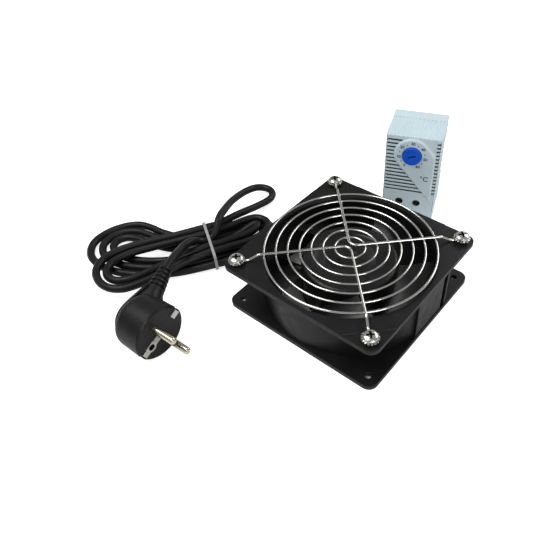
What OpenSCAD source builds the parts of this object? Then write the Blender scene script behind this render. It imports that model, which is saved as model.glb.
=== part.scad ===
// Axial cabinet fan lying flat with its wire guard up, with its bundled mains lead and its
// rail thermostat. The origin is the centre of the fan's lower mounting face and +Z is the
// fan's axis. Lengths are in millimetres.

/* [Fan housing] */
// Side of the square flanges
fan_w = 120; // [118:0.5:124]
// Height over both flanges
fan_h = 38; // [36:0.5:42]
// Distance between neighbouring mounting holes
hole_pitch = 104.8; // [104:0.1:105.6]
// Diameter of the mounting holes
hole_d = 4.3; // [4.1:0.1:4.6]
// Diameter of the inlet flange's four holes, which hold the guard's screws
guard_hole_d = 4.8; // [4.8:0.1:5.2]
// Thickness of each flange
flange_t = 3.2; // [2.5:0.1:4]
// Corner radius of the flanges
corner_r = 6.5; // [5:0.5:7.5]
// Inner diameter of the duct
duct_d = 112; // [111.5:0.1:113]
// Wall of the duct
duct_wall = 2.2; // [1.8:0.1:2.6]
// How much the inlet mouth widens all round
mouth_flare = 1.5; // [1:0.1:2]
// Depth of the inlet mouth
mouth_h = 5; // [4:0.5:7]
// Number of struts that carry the motor
strut_count = 4; // [3:1:5]
// Width of a strut
strut_w = 6; // [4:0.5:8]
// Height of a strut
strut_h = 4.5; // [3.5:0.1:5]

/* [Impeller] */
// Number of blades
blade_count = 5; // [4:1:6]
// Outer diameter of the hub
hub_d = 65; // [64:0.5:67]
// Axial depth of a blade
blade_h = 22; // [18:0.5:23]
// Angle that a blade covers at the hub, in degrees
blade_root_span = 50; // [40:1:56]
// Angle that a blade covers at its tip, in degrees
blade_tip_span = 57; // [45:1:60]
// Thickness of a blade at the hub
blade_t = 2.2; // [1.8:0.1:2.6]
// Gap between the blade tips and the duct
tip_gap = 0.8; // [0.6:0.1:1.2]

/* [Motor] */
// Diameter of the shaft
shaft_d = 4; // [3.8:0.1:4.4]
// Radial running clearance of the shaft in its bearings
shaft_clearance = 0.02; // [0.01:0.01:0.05]
// Outer diameter of the bearings
bearing_d = 9; // [8.6:0.1:9.4]
// Length of a bearing
bearing_h = 6; // [5:0.5:7]
// Outer diameter of the stator core
stator_d = 44.6; // [43:0.1:45]
// Height of the stator core
stator_h = 14; // [12:0.5:15]

/* [Wire guard] */
// Number of rings
ring_count = 7; // [5:1:8]
// Diameter of the smallest ring at its wire's centre
ring_first_d = 19.9; // [18:0.1:22]
// Diameter of the largest ring at its wire's centre
ring_last_d = 112.4; // [111:0.1:113]
// Diameter of the ring wire
ring_wire_d = 1.5; // [1.4:0.1:1.9]
// Diameter of the carrying wire
arm_wire_d = 1.8; // [1.7:0.1:2.2]
// Height of the ring wires' centres above the inlet face
guard_lift = 3.3; // [3:0.1:4]
// Inside radius of the bend where a carrying wire turns back
arm_bend_r = 5; // [4:0.5:8]

/* [Guard fasteners] */
// Diameter of the screws
screw_d = 4; // [3.8:0.1:4.05]
// Diameter of the screw heads
screw_head_d = 9.4; // [8.6:0.1:10]
// Height of the screw heads
screw_head_h = 2.9; // [2.4:0.1:3.4]
// Outer diameter of the toothed washers
washer_d = 11; // [10.6:0.1:11.4]
// Thickness of the toothed washers
washer_t = 0.8; // [0.6:0.1:1]
// Distance across the flats of the nuts
nut_af = 7; // [6.8:0.1:7.4]
// Height of the nuts
nut_h = 3.2; // [2.8:0.1:3.6]

/* [Mains lead] */
// Diameter of the lead
cord_d = 5.8; // [5.4:0.1:5.9]
// Thickness of the tie's strip
tie_t = 1; // [0.8:0.1:1.1]
// Width of the tie's strip
tie_w = 2; // [1.8:0.1:3]
// Diameter of the plug's face
plug_d = 37.5; // [37:0.1:38]
// Depth of the plug behind its face
plug_depth = 25; // [23:0.5:27]
// Diameter of the plug's pins
pin_d = 4.8; // [4.7:0.1:4.9]
// Length of the plug's pins
pin_l = 19; // [18.5:0.1:19.5]
// Distance between the plug's pins
pin_pitch = 19; // [18.8:0.1:19.2]
// Length of the plug's strain relief
relief_l = 20; // [20:0.5:23]

/* [Thermostat] */
// Width of the thermostat
th_w = 40; // [39:0.5:43]
// Height of the thermostat
th_h = 72; // [71:0.5:75]
// Depth of the thermostat without its raised panel
th_d = 36; // [35:0.5:39]
// Wall of the thermostat's cover
th_wall = 1.6; // [1.4:0.1:1.9]
// Height of a vent slot
vent_h = 1.4; // [1.1:0.1:1.7]
// Number of vent slots
vent_count = 15; // [10:1:15]
// Diameter of the setting dial
dial_d = 13.6; // [12.5:0.1:14]
// Width of the mounting rail that the thermostat clips to
rail_w = 35; // [34.8:0.1:35.2]
// Travel of the rail latch
latch_travel = 3.5; // [2.5:0.5:4]

/* [Hidden] */
$fn = 96;

// Overrun of every cut
cut = 1;
// Gap between pieces that are laid against each other
seat = 0.3;
black = [0.09, 0.09, 0.1];
steel = [0.78, 0.78, 0.8];
brass = [0.78, 0.68, 0.42];
cover_blue = [0.68, 0.77, 0.8];

// Housing, cast in one piece and modelled as two flanges, the duct and the motor frame
fan_r = fan_w / 2;
duct_r = duct_d / 2;
hole_r = hole_pitch / 2;
corner_reach = hole_r * sqrt(2);
ear_drop = 0.3;
ear_line_in = 6.2;
plate_lift = 0.5;
plate_t = 3;
plate_rim_t = 1.5;
plate_rim_h = 1.2;
strut_turn = 10;
strut_bite = 2;
tube_wall = 2;
tube_step = 0.5;
tube_span = 9.5;
pad_set_in = 0.6;
pad_w = 30;
pad_y = 5;
pad_rib_w = 2;
pad_rib_y = 26;
pad_bite = 6;

// Terminals on the far side of the housing and the connector on them
term_w = 17;
term_h = 15;
term_z = 13;
tab_w = 2.8;
tab_t = 0.8;
tab_l = 8;
tab_root = 3;
tab_pitch = 7;
tab_fit = 0.1;
conn_l = 14;
conn_w = 15;
conn_h = 11;
conn_chamfer = 4;
// Where the connector's side slants back, as shares of its width and length
conn_slant_shares = [0.25, 0.65];
boot_back = [-69, -6.6, 0];
boot_l = 8;
boot_d = 9;
boot_tip_d = 7.4;
boot_turn = 240;
boot_rib_d = 0.9;
boot_ribs = 3;

// Motor, from its plate upwards
hub_r = hub_d / 2;
plate_top = plate_lift + plate_t;
tube_r = bearing_d / 2 + tube_wall;
tube_top = plate_top + bearing_h + tube_span + bearing_h;
air_gap = 0.35;
stator_z = 8;
slot_count = 8;
slot_w = 4;
slot_mouth = 1.4;
slot_floor = 3;
slot_lip = 3;
winding_gap = 0.2;
winding_end_h = 2.4;
hub_wall = 2.5;
hub_top_t = 2;
hub_fillet = 3;
hub_rim_z = 6;
hub_dish_d = 46;
hub_dish_h = 0.5;
cup_r = hub_r - hub_wall;
cup_wall = 1;
cup_top_t = 1.2;
cup_gap = 1.2;
cup_boss_d = 11;
cup_boss_h = 5.7;
cup_top = tube_top + seat + cup_boss_h;
core_z = 7.5;
core_h = 15;
clip_t = 0.6;
clip_d = 7.2;
clip_mouth_w = 2.6;
groove_d = 3.2;
shaft_tail = 1.2;

// Blades
blade_mid_z = 19.4;
blade_camber = 1.8;
blade_bite = 0.6;
blade_sweep = 9;
blade_turn = 2;
blade_rows = 7;
blade_cols = 10;
blade_tip_t_share = 0.55;
blade_edge_share = 0.35;
blade_cut_share = 0.14;

// Guard and its fasteners
ring_step = (ring_last_d - ring_first_d) / 2 / (ring_count - 1);
ring_z = fan_h + guard_lift;
weld = 0.15;
arm_z = ring_z + (ring_wire_d + arm_wire_d) / 2 - weld;
eye_z = fan_h + arm_wire_d / 2;
eye_gap = 0.25;
eye_press = 0.05;
bend_swell = 0.06;
eye_r = screw_d / 2 + arm_wire_d / 2 + eye_gap;
eye_wire_d = arm_wire_d - 2 * eye_press;
jog_start = 1.8;
jog_turn = 30;
jog_bend_r = 4;
washer_z = eye_z + arm_wire_d / 2;
tooth_count = 16;
tooth_depth = 0.9;
tooth_shares = [-0.25, 0.25, 0.4, 0.6];
washer_fit = 0.25;
thread_depth = 0.35;
recess_w = 1.3;
recess_l = 5.2;
recess_h = 1.9;
head_side_share = 0.35;
screw_l = 11;

// Bundled lead. The hank's own frame starts under the tie. Its first axis runs along the
// bundle, away from the plug, and its second axis points to the left of that.
hank_x = -108;
hank_y = -30;
hank_turn = 58;
hank_loops = 4.5;
hank_climb_turn = 2.5;
hank_rings = 24;
hank_sides = 6;
hank_fine = 4;
gap_skip_share = 3;
waist_half = 19.5;
waist_step = 7;
// Reach of the outer loop past the tie, in the lower and the upper layer
left_reach = [94, 89];
right_reach = [56, 56];
// How far the outer loop's lobes swell, in the lower and the upper layer
left_swell = [15, 14];
right_swell = [8, 8];
// Bend of the lobes to the left of the bundle, in degrees for each millimetre
left_bend = [0.72, -0.17];
right_bend = [0.49, 0.49];
reach_step = 7;
swell_step = 3;
lobe_share = 2.6;
tie_clear = 0.3;
floor_gap = 0.1;
waist_z = tie_t + tie_clear + floor_gap + cord_d / 2;
layer_step = 6.5;
layer_sag = 1.4;
sag_start = 8;
sag_run = 22;
climb_start_turn = 0.02;
climb_turns = 0.2;
hank_run = 6;
tie_corner_r = 3;

// Free stretches of the lead between their ends, in order from the fan to the plug
LEAD = [[-76.1, -17.9, 12.3], [-79.1, -22.2, 10.2], [-82.2, -26.6, 7.1], [-85.2, -30.9, 5]];
TAIL = [[-116.2, -12, 10.6], [-115.2, -4, 10.2], [-114, 5, 9.4], [-112.9, 14, 8],
    [-112, 22, 6.6], [-111.4, 29.5, 5.4], [-110.8, 36.8, 4.6], [-111.3, 42.6, 4.2],
    [-114.6, 48, 4.1], [-120, 50.2, 4.2], [-125.6, 48.8, 4.5], [-129.8, 44.6, 5.2],
    [-131.2, 38.2, 6.4], [-130.6, 30.4, 8.3], [-128.8, 22, 10.4], [-126, 13, 12.8],
    [-122.4, 5, 15], [-118.8, -1.5, 17.1], [-114.1, -10.2, 19.4], [-110.5, -16.5, 18.9],
    [-107.8, -21.6, 14.6], [-108.8, -27.8, 10.8], [-110.6, -32, 10.6], [-112.7, -37.7, 13.6],
    [-111.8, -42.8, 17.3], [-110.6, -50, 19.6], [-106.6, -57.4, 22.6], [-102, -65, 26],
    [-97.4, -72.4, 28.6]];
tube_sides = 8;

// Plug, in a frame at the middle of its face with the pins along the first axis
plug_pos = [-62, -114.5, 19.2];
plug_turn = 3;
plug_roll = 23;
plug_edge = 1;
plug_taper = 0.6;
plug_round = 7;
pin_root = 3;
pin_root_d = 3.6;
pin_round_share = 0.4;
relief_back = 22.5;
relief_y = 19;
relief_tilt = -12;
relief_yaw = 20;
relief_d = 13;
relief_tip_d = 8.4;
relief_groove = 1.3;
relief_groove_w = 1.5;
relief_ribs = 5;
neck_d = 24;
neck_front = 9;
neck_top = 2;
grip_t = 1.6;
grip_rim = 1.4;
clip_w = 4.6;
clip_sheet = 0.7;
clip_side_l = 12;
clip_recess = 2.2;
clip_face_l = [14, 4.6];
// Hole of the lower clip, over the socket for an earth pin that stands in the wall
earth_hole_y = 10;
earth_hole_d = 4.6;
earth_hole_h = 3.5;
earth_eye_d = 7.4;
earth_lip_h = 1.3;
earth_lip_l = 7;

// Thermostat, in a frame at the foot of its front face with the face towards -Y
th_x = -12;
th_y = 92;
th_turn = 22;
th_edge_r = 2;
base_d = 10;
cover_d = th_d - base_d;
vent_top = th_h - 3.7;
vent_low = 25.5;
vent_pitch = (vent_top - vent_low) / (vent_count - 1);
vent_side_l = 10;
vent_front_in = 3.2;
vent_upper_x = -5;
vent_max_x = 11;
vent_under = 2;
scallop_count = 12;
scallop_pitch = 3;
scallop_r = 0.8;
scallop_out = 0.3;
panel_t = 1.5;
panel_skin = 0.4;
panel_slope = 2.4;
panel_r = 13.5;
panel_x = 17;
panel_tip_z = 17.7;
panel_knee = [10.3, th_h - 6];
panel_knee_z = th_h - 13.4;
dial_z = th_h - 14.5;
dial_h = 2.6;
dial_pocket_h = 1.2;
dial_pocket_gap = 0.4;
dial_slot_w = 1.4;
dial_slot_l = 6;
dial_slot_h = 0.9;
dial_turn = 24;
spindle_d = 5;
spindle_fit = 0.05;
spindle_l = 12;
cam_d = 12;
cam_offset = 1.4;
cam_y = 4;
cam_t = 4;
switch_w = 18;
switch_h = 16;
switch_y = 14;
switch_plunger_d = 3;
switch_plunger_l = 2;
bimetal_r = 90;
bimetal_t = 0.8;
bimetal_w = 12;
bimetal_y = 6;
bimetal_l = 40;
bimetal_low = 22;
bimetal_top_in = 10;
bimetal_x = -15;
bimetal_foot_w = 4;
bimetal_foot_h = 6;
block_w = 27;
block_h = 20;
block_y = 2;
block_z = 3;
well_d = 5.9;
well_x = 6.6;
well_z = 14.7;
term_head_d = 5.2;
term_head_h = 2;
term_head_in = 3.6;
term_slot_w = 0.8;
term_slot_h = 0.9;
term_shank_d = 3;
term_shank_l = 9;
entry_d = 3.8;
entry_y = 12;
rail_fit = 0.3;
rail_above = 4;
rail_mid_z = th_h / 2 + rail_above;
rail_groove_h = 1.6;
rail_lip_t = 1.8;
rail_lip = 1.5;
rail_pocket_in = 3.6;
rail_pocket_h = 7.5;
latch_w = 14;
latch_neck_w = 10;
latch_t = 1.4;
latch_z = 5;
latch_gap = 0.3;

// A rectangle with round corners, made of squares and circles
module round_rect(w, h, r) {
    square([w - 2 * r, h], center = true);
    square([w, h - 2 * r], center = true);
    for (x = [-1, 1], y = [-1, 1])
        translate([x * (w / 2 - r), y * (h / 2 - r)]) circle(r);
}

// Copies of the children at the four mounting holes
module at_holes() {
    for (x = [-1, 1], y = [-1, 1])
        translate([x * hole_r, y * hole_r, 0]) children();
}

// A straight piece of guard wire between two points, let into its neighbours at both ends
module rod(a, b) {
    v = b - a;
    translate(a) rotate([0, acos(v[2] / norm(v)), atan2(v[1], v[0])])
        translate([0, 0, -weld]) cylinder(h = norm(v) + 2 * weld, d = arm_wire_d);
}

// A ring of square section
module collar(r_in, r_out, z, h) {
    translate([0, 0, z]) difference() {
        cylinder(h = h, r = r_out);
        translate([0, 0, -cut]) cylinder(h = h + 2 * cut, r = r_in);
    }
}

// Eases from 0 to 1 while x goes from 0 to 1
function smooth(x) = let (c = min(1, max(0, x))) c * c * (3 - 2 * c);
function turn_x(p, a) = [p[0], p[1] * cos(a) - p[2] * sin(a), p[1] * sin(a) + p[2] * cos(a)];
function turn_z(p, a) = [p[0] * cos(a) - p[1] * sin(a), p[0] * sin(a) + p[1] * cos(a), p[2]];

// Corner points of one ring of a tube at p, square to the direction dir
function tube_ring(p, dir, r, n) =
    let (flat = cross(dir, [0, 0, 1]), side = flat / norm(flat), up = cross(side, dir))
    [for (k = [0:n - 1]) p + r * (cos(360 * k / n) * side + sin(360 * k / n) * up)];

// A tube of n sides swept along the points of a path
module tube(path, d, n) {
    last = len(path) - 1;
    steps = [for (i = [0:last]) path[min(i + 1, last)] - path[max(i - 1, 0)]];
    points = [for (i = [0:last]) each tube_ring(path[i], steps[i] / norm(steps[i]), d / 2, n)];
    sides = [for (i = [0:last - 1], k = [0:n - 1])
        let (a = i * n + k, b = i * n + (k + 1) % n) each [[a, b, b + n], [a, b + n, a + n]]];
    ends = [for (k = [1:n - 2]) each
        [[0, k + 1, k], [last * n, last * n + k, last * n + k + 1]]];
    polyhedron(points, concat(sides, ends));
}

module flange(z) translate([0, 0, z]) linear_extrude(flange_t) round_rect(fan_w, fan_w, corner_r);

// The duct's bore, with a mouth that widens towards the guard
module duct_bore() {
    mouth = [for (a = [0:15:90])
        [duct_r + mouth_flare * (1 - cos(a)), fan_h - mouth_h * (1 - sin(a))]];
    rotate_extrude() polygon(concat([[0, -cut], [duct_r, -cut]], mouth,
        [[duct_r + mouth_flare, fan_h + cut], [0, fan_h + cut]]));
}

// The corner ears lie a little lower than the inlet face
module ear_recesses() {
    for (i = [0:3]) rotate(45 + 90 * i)
        translate([corner_reach - ear_line_in, -fan_r, fan_h - ear_drop])
        cube([fan_r, fan_w, ear_drop + cut]);
}

module bolt_holes(d) {
    at_holes() translate([0, 0, -cut]) cylinder(h = fan_h + 2 * cut, d = d);
}

module inlet_flange() {
    color(black) difference() {
        flange(fan_h - flange_t);
        duct_bore();
        bolt_holes(guard_hole_d);
        ear_recesses();
    }
}

module outlet_flange() {
    color(black) difference() {
        flange(0);
        duct_bore();
        bolt_holes(hole_d);
    }
}

// Flat pad and rib on one side, terminal boss on the other
module side_details() {
    gap_h = fan_h - 2 * flange_t;
    reach = fan_r - pad_set_in;
    translate([duct_r - pad_bite, pad_y - pad_w / 2, flange_t])
        cube([reach - duct_r + pad_bite, pad_w, gap_h]);
    translate([duct_r - pad_bite, pad_rib_y - pad_rib_w / 2, flange_t])
        cube([reach - duct_r + pad_bite, pad_rib_w, gap_h]);
    translate([-reach, -term_w / 2, term_z - term_h / 2])
        cube([reach - duct_r + pad_bite, term_w, term_h]);
}

// Barrel between the flanges
module duct() {
    color(black) difference() {
        union() {
            translate([0, 0, flange_t]) cylinder(h = fan_h - 2 * flange_t, r = duct_r + duct_wall);
            side_details();
        }
        duct_bore();
        at_tabs() translate([-tab_root, 0, 0]) tab_blade(tab_root + cut);
    }
}

// Motor plate with its rim, the struts that carry it, and the bearing tube
module motor_frame() {
    color(black) difference() {
        union() {
            translate([0, 0, plate_lift]) cylinder(h = plate_t, r = hub_r);
            collar(hub_r - plate_rim_t, hub_r, plate_lift, plate_t + plate_rim_h);
            intersection() {
                for (i = [0:strut_count - 1]) rotate(strut_turn + 360 * i / strut_count)
                    translate([hub_r - strut_bite, -strut_w / 2, plate_lift])
                    cube([duct_r - hub_r + strut_bite, strut_w, strut_h]);
                cylinder(h = fan_h, r = duct_r);
            }
            translate([0, 0, plate_lift]) cylinder(h = tube_top - plate_lift, r = tube_r);
        }
        translate([0, 0, plate_lift - cut])
            cylinder(h = plate_t + bearing_h + cut, d = bearing_d);
        translate([0, 0, plate_lift]) cylinder(h = tube_top, d = bearing_d - 2 * tube_step);
        translate([0, 0, tube_top - bearing_h]) cylinder(h = bearing_h + cut, d = bearing_d);
    }
}

// Copies of the children at the two terminals, with the outward side along +X
module at_tabs() {
    for (y = [-1, 1])
        translate([-(fan_r - pad_set_in), y * tab_pitch / 2, term_z]) rotate(180) children();
}

module tab_blade(l) translate([0, -tab_t / 2, -tab_w / 2]) cube([l, tab_t, tab_w]);

module terminal_blades() {
    color(steel) at_tabs() translate([-tab_root, 0, 0]) tab_blade(tab_root + tab_l);
}

function boot_dir() = [cos(boot_turn), sin(boot_turn), 0];
function lead_start() = boot_back + [0, 0, term_z] + boot_l * boot_dir();

// Moulded connector on the terminals, with the boot that the lead leaves by
module fan_connector() {
    x0 = fan_r - pad_set_in + seat;
    color(black) difference() {
        union() {
            translate([0, 0, term_z - conn_h / 2]) linear_extrude(conn_h) polygon([
                [-x0, -conn_w / 2], [-x0, conn_w / 2], [-x0 - conn_l + conn_chamfer, conn_w / 2],
                [-x0 - conn_l, conn_w / 2 - conn_chamfer],
                [-x0 - conn_l, -conn_w * conn_slant_shares[0]],
                [-x0 - conn_l * conn_slant_shares[1], -conn_w / 2]]);
            translate(boot_back + [0, 0, term_z]) rotate([0, 90, boot_turn]) {
                cylinder(h = boot_l, d1 = boot_d, d2 = boot_tip_d);
                for (i = [1:boot_ribs]) translate([0, 0, boot_l * (i / boot_ribs) - boot_rib_d])
                    cylinder(h = boot_rib_d, d = boot_d);
            }
        }
        at_tabs() translate([0, -tab_fit, 0]) tab_slot();
    }
}

// Room for one terminal inside the connector
module tab_slot() {
    translate([0, -tab_t / 2, -tab_w / 2 - tab_fit])
        cube([tab_l + seat + tab_fit, tab_t + 2 * tab_fit, tab_w + 2 * tab_fit]);
}

module bearings() {
    color(brass) for (z = [plate_top, tube_top - bearing_h])
        collar(shaft_d / 2 + shaft_clearance, bearing_d / 2, z, bearing_h);
}

// Laminated core with its winding slots
module stator_core() {
    floor_r = tube_r + slot_floor;
    color([0.45, 0.45, 0.47]) difference() {
        collar(tube_r, stator_d / 2, stator_z, stator_h);
        for (i = [0:slot_count - 1]) rotate(360 * i / slot_count)
            translate([0, 0, stator_z - cut]) {
                translate([floor_r, -slot_w / 2, 0])
                    cube([stator_d / 2 - slot_lip - floor_r, slot_w, stator_h + 2 * cut]);
                translate([floor_r, -slot_mouth / 2, 0])
                    cube([stator_d / 2, slot_mouth, stator_h + 2 * cut]);
            }
    }
}

// End turns on both sides of the core, joined through its slots
module windings() {
    r_in = tube_r + slot_floor + winding_gap;
    r_out = stator_d / 2 - slot_lip - winding_gap;
    end_z = winding_gap + winding_end_h;
    color([0.6, 0.3, 0.12]) {
        collar(r_in, r_out, stator_z - end_z, winding_end_h);
        collar(r_in, r_out, stator_z + stator_h + winding_gap, winding_end_h);
        for (i = [0:slot_count - 1]) rotate(360 * i / slot_count)
            translate([r_in + winding_gap, winding_gap - slot_w / 2, stator_z - end_z])
            cube([r_out - r_in - 2 * winding_gap, slot_w - 2 * winding_gap, stator_h + 2 * end_z]);
    }
}

// Deep-drawn steel cup with the boss that holds the shaft
module rotor_cup() {
    inner = cup_r - cup_wall;
    boss_z = tube_top + seat;
    color([0.3, 0.3, 0.32]) rotate_extrude() polygon([
        [shaft_d / 2, boss_z], [cup_boss_d / 2, boss_z], [cup_boss_d / 2, cup_top - cup_top_t],
        [inner, cup_top - cup_top_t], [inner, plate_top + cup_gap], [cup_r, plate_top + cup_gap],
        [cup_r, cup_top], [shaft_d / 2, cup_top]]);
}

module rotor_core() {
    color([0.55, 0.55, 0.57])
        collar(stator_d / 2 + air_gap, cup_r - cup_wall, core_z, core_h);
}

module shaft() {
    groove_z = plate_top - seat - clip_t;
    color(steel) difference() {
        translate([0, 0, groove_z - shaft_tail]) cylinder(h = cup_top - groove_z + shaft_tail, d = shaft_d);
        collar(groove_d / 2, shaft_d, groove_z, clip_t);
    }
}

// Retaining clip in the shaft's groove, just below the lower bearing
module shaft_clip() {
    color(steel) difference() {
        collar(groove_d / 2, clip_d / 2, plate_top - seat - clip_t, clip_t);
        translate([0, -clip_mouth_w / 2, 0]) cube([clip_d, clip_mouth_w, plate_top]);
    }
}

// Span of the blade, narrower at its tip so that the corners are round
function blade_round(t) = 1 - blade_cut_share * pow(t, 5);
function blade_half_t(t, s) = blade_t / 2 * (1 - (1 - blade_tip_t_share) * t)
    * (blade_edge_share + (1 - blade_edge_share) * sin(180 * s));

// A point of the blade: t runs from hub to tip, s from the trailing to the leading edge
function blade_point(t, s, side) =
    let (r = hub_r - blade_bite + (duct_r - tip_gap - hub_r + blade_bite) * t,
         span = (blade_root_span + (blade_tip_span - blade_root_span) * t) * blade_round(t),
         a = blade_sweep * t * t + (s - 1 / 2) * span,
         z = blade_mid_z + (s - 1 / 2) * blade_h * blade_round(t) + 4 * blade_camber * s * (1 - s))
    [r * cos(a), r * sin(a), z + side * blade_half_t(t, s)];

module blade() {
    rows = blade_rows;
    cols = blade_cols;
    n = (rows + 1) * (cols + 1);
    points = [for (side = [1, -1], i = [0:rows], j = [0:cols])
        blade_point(i / rows, j / cols, side)];
    function at(i, j) = i * (cols + 1) + j;
    function quad(a, b, c, d) = [[a, b, c], [a, c, d]];
    skins = [for (i = [0:rows - 1], j = [0:cols - 1]) each concat(
        quad(at(i, j), at(i, j + 1), at(i + 1, j + 1), at(i + 1, j)),
        quad(n + at(i, j), n + at(i + 1, j), n + at(i + 1, j + 1), n + at(i, j + 1)))];
    ends = [for (j = [0:cols - 1]) each concat(
        quad(at(0, j + 1), at(0, j), n + at(0, j), n + at(0, j + 1)),
        quad(at(rows, j), at(rows, j + 1), n + at(rows, j + 1), n + at(rows, j)))];
    edges = [for (i = [0:rows - 1]) each concat(
        quad(at(i, 0), at(i + 1, 0), n + at(i + 1, 0), n + at(i, 0)),
        quad(at(i + 1, cols), at(i, cols), n + at(i, cols), n + at(i + 1, cols)))];
    polyhedron(points, concat(skins, ends, edges));
}

// Moulded hub with a rounded shoulder and a shallow dish, and the blades on it
module impeller() {
    top = cup_top + hub_top_t;
    shoulder = [for (a = [0:15:90])
        [hub_r - hub_fillet + hub_fillet * cos(a), top - hub_fillet + hub_fillet * sin(a)]];
    color(black) {
        rotate_extrude() polygon(concat(
            [[0, cup_top], [cup_r, cup_top], [cup_r, hub_rim_z], [hub_r, hub_rim_z]], shoulder,
            [[hub_dish_d / 2, top], [hub_dish_d / 2 - hub_dish_h, top - hub_dish_h],
            [0, top - hub_dish_h]]));
        for (i = [0:blade_count - 1]) rotate(blade_turn + 360 * i / blade_count) blade();
    }
}

module guard_rings() {
    color(steel) translate([0, 0, ring_z]) for (i = [0:ring_count - 1])
        rotate_extrude() translate([ring_first_d / 2 + i * ring_step, 0]) circle(d = ring_wire_d);
}

// A bend of a wire in the XZ plane, from one heading to another
module bend(from, turn, r) {
    rotate([90, 0, 0]) rotate(from) rotate_extrude(angle = turn) translate([r, 0])
        circle(d = arm_wire_d + bend_swell);
}

// One arm of a carrying wire along +X: over the rings, down to the ear and round the screw
module guard_arm() {
    start_r = ring_last_d / 2 + ring_wire_d / 2 + jog_start;
    bend_x = jog_bend_r * sin(jog_turn);
    bend_z = jog_bend_r * (1 - cos(jog_turn));
    slope_h = arm_z - eye_z - 2 * bend_z;
    slope_x = start_r + bend_x;
    foot_x = slope_x + slope_h / tan(jog_turn);
    rod([arm_bend_r, 0, arm_z], [start_r, 0, arm_z]);
    translate([start_r, 0, arm_z - jog_bend_r]) bend(90 - jog_turn, jog_turn, jog_bend_r);
    rod([slope_x, 0, arm_z - bend_z], [foot_x, 0, eye_z + bend_z]);
    translate([foot_x + bend_x, 0, eye_z + jog_bend_r])
        bend(270 - jog_turn, jog_turn, jog_bend_r);
    rod([foot_x + bend_x, 0, eye_z], [corner_reach - eye_r, 0, eye_z]);
    translate([corner_reach, 0, eye_z]) rotate_extrude() translate([eye_r, 0])
        circle(d = eye_wire_d);
}

// A carrying wire that serves two neighbouring corners and turns back near the middle
module guard_wire(turn) {
    color(steel) rotate(turn) {
        rotate(45) guard_arm();
        rotate(135) guard_arm();
        translate([0, arm_bend_r * sqrt(2), arm_z]) rotate(225)
            rotate_extrude(angle = 90) translate([arm_bend_r, 0])
            circle(d = arm_wire_d + bend_swell);
    }
}

module guard_wire_back() guard_wire(0);
module guard_wire_front() guard_wire(180);

module guard_screws() {
    side_h = screw_head_h * head_side_share;
    dome = [for (a = [0:15:90])
        [screw_head_d / 2 * cos(a), side_h + (screw_head_h - side_h) * sin(a)]];
    color(steel) at_holes() translate([0, 0, washer_z + washer_t]) difference() {
        union() {
            rotate_extrude() polygon(concat([[0, 0], [screw_head_d / 2, 0]], dome));
            translate([0, 0, -screw_l]) cylinder(h = screw_l + side_h, d = screw_d);
        }
        for (a = [0, 90]) rotate(a + 45)
            translate([-recess_l / 2, -recess_w / 2, screw_head_h - recess_h])
            cube([recess_l, recess_w, recess_h + cut]);
    }
}

module toothed_washers() {
    r = washer_d / 2;
    outline = [for (i = [0:tooth_count - 1], k = [0:3])
        let (a = (i + tooth_shares[k]) * 360 / tooth_count, q = k < 2 ? r : r - tooth_depth)
        [q * cos(a), q * sin(a)]];
    color([0.6, 0.6, 0.62]) at_holes() translate([0, 0, washer_z]) linear_extrude(washer_t)
        difference() {
            polygon(outline);
            circle(d = screw_d + 2 * washer_fit);
        }
}

// The nuts are bored to the core of the screws' thread
module guard_nuts() {
    color(steel) at_holes() translate([0, 0, fan_h - flange_t - nut_h]) difference() {
        cylinder(h = nut_h, d = nut_af / cos(30), $fn = 6);
        translate([0, 0, -cut]) cylinder(h = nut_h + 2 * cut, d = screw_d - 2 * thread_depth);
    }
}

// A point of the hank's centre line after t turns. The loops spiral inwards in the lower
// layer, climb along a run, and spiral outwards again in the upper layer.
function hank_point(t) =
    let (layer = t > hank_climb_turn ? 1 : 0,
         depth = hank_climb_turn - abs(t - hank_climb_turn),
         left = sin(360 * t) > 0,
         reach = (left ? left_reach : right_reach)[layer] - reach_step * depth,
         swell = (left ? left_swell : right_swell)[layer] - swell_step * depth,
         r = 180 / PI / (left ? left_bend : right_bend)[layer],
         s = -reach * sin(360 * t),
         half = waist_half - waist_step * depth,
         o = -cos(360 * t) * (half + lobe_share * swell * pow(sin(360 * t), 2)),
         a = s / r * 180 / PI,
         climb = layer_step * smooth((t - hank_climb_turn - climb_start_turn) / climb_turns),
         sag = layer_sag * smooth((abs(s) - sag_start) / sag_run))
    in_hank([(r - o) * sin(a), r - (r - o) * cos(a), waist_z + climb - sag]);
function in_hank(p) = [hank_x, hank_y, 0] + turn_z(p, hank_turn);
function hank_along() = turn_z([hank_run, 0, 0], hank_turn);
function hank_start() = hank_point(0) + hank_along();
function hank_end() = hank_point(hank_loops) + hank_along();

// Least gap of the hank to itself, between points more than a few diameters of cord apart
function hank_gap() =
    let (n = hank_rings * hank_fine, skip = gap_skip_share * cord_d,
         p = [for (i = [0:n * hank_loops]) hank_point(i / n)], last = len(p) - 1,
         run = [for (i = 0, l = 0; i <= last; i = i + 1, l = l + norm(p[min(i, last)] - p[i - 1]))
            l])
    min([for (i = [0:last], j = [i + 1:1:last]) if (run[j] - run[i] > skip)
        norm(p[i] - p[j])]) - cord_d;

module cord_hank() {
    echo(hank_least_gap = hank_gap());
    turns = [for (i = [0:hank_rings * hank_loops]) hank_point(i / hank_rings)];
    color(black) tube(concat([hank_start()], turns, [hank_end()]), cord_d, hank_sides);
}

module cord_lead() {
    color(black) tube(concat([lead_start()], LEAD, [hank_start()]), cord_d, tube_sides);
}

module cord_tail() {
    color(black) tube(concat([hank_end()], TAIL, [relief_end()]), cord_d, tube_sides);
}

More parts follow.
